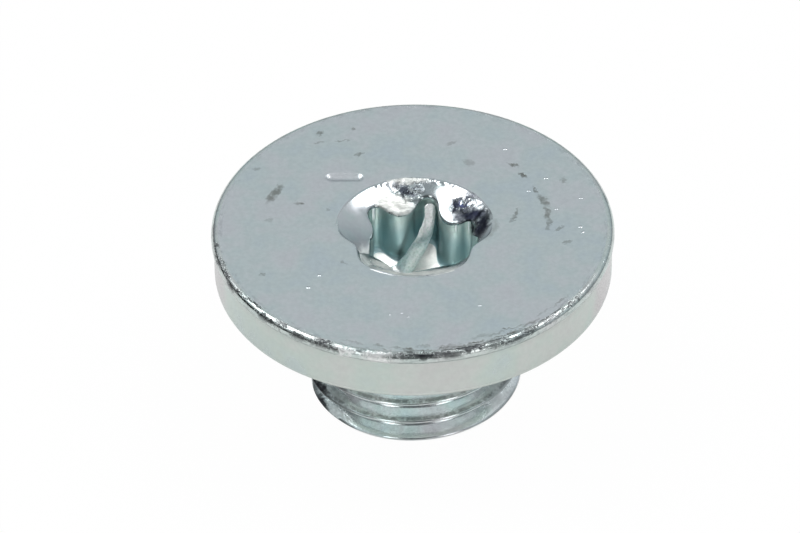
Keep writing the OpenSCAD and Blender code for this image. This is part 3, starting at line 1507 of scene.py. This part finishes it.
        # The socket's walls stay as they are
        over_walls = r > self.mouth_outline()[None, :] - 0.05
        z = z + np.where(inner & over_walls, self.damage(r, z), 0.0)
        z = np.minimum(z, self.top_z)
        filled = (zones == order.index(Zone.SINK)) & (self.pushed(r) > 0.4)
        zones = np.where(filled, order.index(Zone.TOP), zones)
        shift = np.where(inner, 1 - smooth(r, s.off_to, s.off_gone), 0.0)
        x = r * np.cos(self.theta) + s.off_x * shift
        y = r * np.sin(self.theta) + s.off_y * shift
        log.info("plug grid: %d rows of %d", *r.shape)
        return grid_object(name, np.stack([x, y, z], -1) * MM, zones)


@dataclass(frozen=True)
class Sliver:
    """A curl of torn metal that the punch left in the socket, from a lobe's top down to the floor."""

    top: float = 12.9
    thickness: float = 0.1
    # Half its width at the top, what it gains towards the floor, and by what share it varies
    half_width: float = 0.34
    widening: float = 0.22
    uneven: float = 0.07
    # How deep it is cupped at a given distance from its middle, and how deep its dents are
    cup: float = 0.07
    cup_at: float = 0.46
    dented: float = 0.02
    # Places of its middle: across, back, and down from the head's top
    start: tuple[float, float, float] = (1.12, 3.5, 1.0)
    shoulder: tuple[float, float, float] = (1.12, 2.9, 1.75)
    middle: tuple[float, float, float] = (0.60, 2.1, 3.05)
    landing: tuple[float, float, float] = (-0.55, 1.72, 4.9)
    end: tuple[float, float, float] = (-1.3, 1.35, 5.2)
    # The side that its face turns to
    look_from: tuple[float, float, float] = (0.25, -0.75, 0.62)
    rows: int = 64
    columns: int = 33

    def build(self, name: str) -> bpy.types.Object:
        """Sweeps a cupped strip along a smooth path: cubic through the places, its section a flat oval.

        Args:
            name: Name of the piece.

        Returns:
            The strip, closed.
        """
        knots = np.array([self.start, self.shoulder, self.middle, self.landing, self.end])
        t = np.linspace(0, len(knots) - 1, self.rows)
        path = np.stack([catmull_rom(knots[:, k], t) for k in range(3)], -1)
        path[:, 2] = self.top - path[:, 2]
        along = np.gradient(path, axis=0)
        along /= np.linalg.norm(along, axis=1, keepdims=True)
        across = np.cross(along, np.array(self.look_from))
        across /= np.linalg.norm(across, axis=1, keepdims=True)
        out = np.cross(across, along)

        share = t / t[-1]
        width = (self.half_width + self.widening * smooth(share, 0.0, 0.9)) * smooth(share, -0.05, 0.06)
        chance = lattice_noise(share * 8, np.zeros_like(share), cell=0.4, seed=3)
        width = width * (1 + self.uneven * chance)
        a = np.linspace(0, TURN, self.columns)
        flat = np.sign(np.cos(a)) * np.abs(np.cos(a)) ** 0.8
        side = flat[None, :] * width[:, None]
        deep = self.thickness / 2 * np.sin(a)[None, :] - self.cup * (side / self.cup_at) ** 2
        dents = lattice_noise(side * 2, t[:, None] * np.ones_like(side), cell=0.35, seed=4)
        deep = deep + self.dented * dents
        grid = path[:, None, :] + side[..., None] * across[:, None, :] + deep[..., None] * out[:, None, :]
        grid[:, -1] = grid[:, 0]
        first, last = (np.broadcast_to(grid[k, :-1].mean(0), (1, self.columns, 3)) for k in (0, -1))
        return grid_object(name, np.concatenate([first, grid, last]) * MM)


def add_object(name: str, data: bpy.types.ID) -> bpy.types.Object:
    """Puts a mesh, lamp or camera into the scene.

    Args:
        name: Name of the object.
        data: What it holds.

    Returns:
        The object, at the origin.
    """
    item = bpy.data.objects.new(name, data)
    bpy.context.scene.collection.objects.link(item)
    return item


def grid_object(name: str, points: Array, zones: Array | None = None) -> bpy.types.Object:
    """Makes a mesh object of a grid of points: each square of four neighbours is one face.

    Args:
        name: Name of the object.
        points: An array of rows by columns by 3, in metres.
        zones: Number of the material at each point, or None for one material.

    Returns:
        The object, smooth, with coincident points merged and its normals outwards.
    """
    rows, columns = points.shape[:2]
    index = np.arange(rows * columns).reshape(rows, columns)
    corners = index[:-1, :-1], index[:-1, 1:], index[1:, 1:], index[1:, :-1]
    faces = np.stack(corners, -1).reshape(-1, 4)
    mesh = bpy.data.meshes.new(name)
    mesh.from_pydata(points.reshape(-1, 3).tolist(), [], faces.tolist())
    if zones is not None:
        mesh.polygons.foreach_set("material_index", zones[1:, :-1].ravel().astype(np.int32))
    work = bmesh.new()
    work.from_mesh(mesh)
    bmesh.ops.remove_doubles(work, verts=work.verts, dist=MERGE_WITHIN)
    bmesh.ops.recalc_face_normals(work, faces=work.faces)
    work.to_mesh(mesh)
    work.free()
    mesh.shade_smooth()
    mesh.set_sharp_from_angle(angle=math.radians(SHARP_FROM))
    return add_object(name, mesh)


# The studio


@dataclass(frozen=True)
class SoftBox:
    """An oblong lamp that looks at the plug.

    It hangs at an azimuth counted from +X towards +Y, and at an elevation over the table, in degrees.
    Lengths are in metres.
    """

    name: str
    azimuth: float
    elevation: float
    width: float
    height: float
    radiance: float
    distance: float = 0.8

    def build(self) -> None:
        """Hangs the lamp: its power is its radiance times pi times its area."""
        a, e = math.radians(self.azimuth), math.radians(self.elevation)
        towards = Vector((math.cos(a) * math.cos(e), math.sin(a) * math.cos(e), math.sin(e)))
        place = towards * self.distance
        data = bpy.data.lights.new(self.name, "AREA")
        data.shape = "RECTANGLE"
        data.size = self.width
        data.size_y = self.height
        data.energy = self.radiance * math.pi * self.width * self.height
        turned = place.to_track_quat("Z", "Y").to_matrix().to_4x4()
        add_object(self.name, data).matrix_world = Matrix.Translation(place) @ turned


LAMPS = (
    SoftBox("soft_box_right", azimuth=17.0, elevation=59.0, width=0.4, height=0.4, radiance=3.8),
    SoftBox("soft_box_left", azimuth=163.0, elevation=57.0, width=0.44, height=0.44, radiance=3.8),
    SoftBox("front_strip_right", azimuth=301.0, elevation=25.0, width=0.2, height=0.5, radiance=2.1),
    SoftBox("front_strip_left", azimuth=239.0, elevation=25.0, width=0.2, height=0.5, radiance=2.1),
)


@dataclass(frozen=True)
class Room:
    """The light of the room by direction: a grey that falls off towards the horizon and the camera."""

    # Greys from the horizon to straight above
    stops: tuple[tuple[float, Colour], ...] = (
        (0.0, (0.30, 0.32, 0.33)),
        (0.12, (0.34, 0.37, 0.39)),
        (0.30, (0.50, 0.56, 0.59)),
        (0.50, (0.64, 0.69, 0.71)),
        (0.63, (0.72, 0.76, 0.78)),
        (0.80, (0.62, 0.66, 0.68)),
        (1.0, (0.42, 0.45, 0.47)),
    )
    # How much of the light is missing on the camera's side, and low on the left
    camera_side: float = 0.82
    left_low: float = 0.95

    def build(self) -> None:
        """Makes the world, which the camera itself sees as white."""
        world = bpy.data.worlds.new("room")
        bpy.context.scene.world = world
        world.use_nodes = True
        world.node_tree.nodes.clear()
        nodes = Nodes(world.node_tree)
        x, y, z = nodes.split(nodes.add("ShaderNodeTexCoord").outputs["Generated"])
        front = nodes.span(y, -0.7, -0.2, self.camera_side, 0.0)
        low = nodes.span(z, 0.3, 0.55, 1.0, 0.0)
        left = nodes.times(nodes.span(x, -0.85, -0.35, self.left_low, 0.0), low)
        dark = nodes.math("MAXIMUM", front, left)
        colour = nodes.blend(dark, nodes.ramp(z, self.stops), (0, 0, 0, 1))
        room = nodes.add("ShaderNodeBackground", {"Color": colour}).outputs[0]
        white = nodes.add("ShaderNodeBackground", {"Color": (1, 1, 1, 1)}).outputs[0]
        seen = nodes.add("ShaderNodeLightPath").outputs["Is Camera Ray"]
        both = nodes.add("ShaderNodeMixShader", {0: seen, 1: room, 2: white}).outputs[0]
        nodes.add("ShaderNodeOutputWorld", {"Surface": both})


@dataclass(frozen=True)
class Table:
    """A white table. The camera sees it nearly as white as the paper round it, with a faint shadow."""

    half: float = 3.0
    # A hair's breadth under the plug, so that the two faces don't fall together
    below: float = 0.00002
    colour: Colour = (0.9, 0.9, 0.88)
    # How much of its white is its own, for the camera and in the metal's reflections
    glow_seen: float = 0.98
    glow_mirrored: float = 0.3

    def build(self) -> None:
        """Lays the table."""
        h, z = self.half, -self.below
        mesh = bpy.data.meshes.new("table")
        mesh.from_pydata([(-h, -h, z), (h, -h, z), (h, h, z), (-h, h, z)], [], [(0, 1, 2, 3)])
        mesh.materials.append(self.dress())
        add_object("table", mesh)

    def dress(self) -> bpy.types.Material:
        """Makes its material: matt white, blended with a glow for some rays.

        Returns:
            The material.
        """
        material = bpy.data.materials.new("table_white")
        material.use_nodes = True
        material.node_tree.nodes.clear()
        nodes = Nodes(material.node_tree)
        matt = nodes.add("ShaderNodeBsdfDiffuse", {"Color": (*self.colour, 1)}).outputs[0]
        glow = nodes.add("ShaderNodeEmission", {"Strength": 1.0}).outputs[0]
        ray = nodes.add("ShaderNodeLightPath").outputs
        seen = nodes.times(ray["Is Camera Ray"], self.glow_seen)
        share = nodes.plus(seen, nodes.times(ray["Is Glossy Ray"], self.glow_mirrored))
        both = nodes.add("ShaderNodeMixShader", {0: share, 1: matt, 2: glow}).outputs[0]
        nodes.add("ShaderNodeOutputMaterial", {"Surface": both})
        return material


@dataclass(frozen=True)
class Viewpoint:
    """The photo's viewing angle, told from the middle of the head's top."""

    # Angles in radians, the distance in metres
    elevation: float = 0.681
    roll: float = -0.014
    distance: float = 0.4333
    # The lens in pixels of an image so wide, and the sensor's width in millimetres
    focal_px: float = 6726.7
    image_width: int = 800
    sensor_width: float = 36.0
    # Where it aims, in millimetres from that middle
    aim_x: float = -0.855
    aim_z: float = -3.371
    # What it sees lies between these distances, in metres
    nearest: float = 0.01
    furthest: float = 50.0

    def build(self, top: float) -> None:
        """Places the camera.

        Args:
            top: Height of the head's top, in metres.
        """
        data = bpy.data.cameras.new("camera")
        data.sensor_width = self.sensor_width
        data.lens = self.focal_px * self.sensor_width / self.image_width
        data.clip_start = self.nearest
        data.clip_end = self.furthest
        middle = Vector((0, 0, top))
        towards = Vector((0, -math.cos(self.elevation), math.sin(self.elevation)))
        place = towards * self.distance + middle
        ahead = (Vector((self.aim_x, 0, self.aim_z)) * MM + middle - place).normalized()
        right = ahead.cross(Vector((0, 0, 1))).normalized()
        up = right.cross(ahead)
        c, s = math.cos(self.roll), math.sin(self.roll)
        axes = Matrix((right * c + up * s, up * c - right * s, -ahead)).transposed().to_4x4()
        camera = add_object("camera", data)
        camera.matrix_world = Matrix.Translation(place) @ axes
        bpy.context.scene.camera = camera


def build_studio(top: float) -> None:
    """Sets up camera, table, room and lamps.

    Args:
        top: Height of the head's top, in metres.
    """
    bpy.context.scene.view_settings.view_transform = "Standard"
    Viewpoint().build(top)
    Table().build()
    Room().build()
    for lamp in LAMPS:
        lamp.build()


def main() -> None:
    """Builds the studio and the plug, and reports each piece."""
    logging.basicConfig(level=logging.INFO)
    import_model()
    surface = PlugSurface()
    build_studio(surface.top_z * MM)

    effects = Effects()
    plug = surface.build("plug")
    for zone in Zone:
        plug.data.materials.append(zone.value.build(effects))
    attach(plug, "root")
    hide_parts("plug_body")
    log.info("plug: %d faces", len(plug.data.polygons))

    sliver = Sliver(top=surface.top_z).build("sliver")
    sliver.data.materials.append(SLIVER_ZINC.build(effects))
    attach(sliver, "root")
    log.info("sliver: %d faces", len(sliver.data.polygons))


if __name__ == "__main__":
    main()
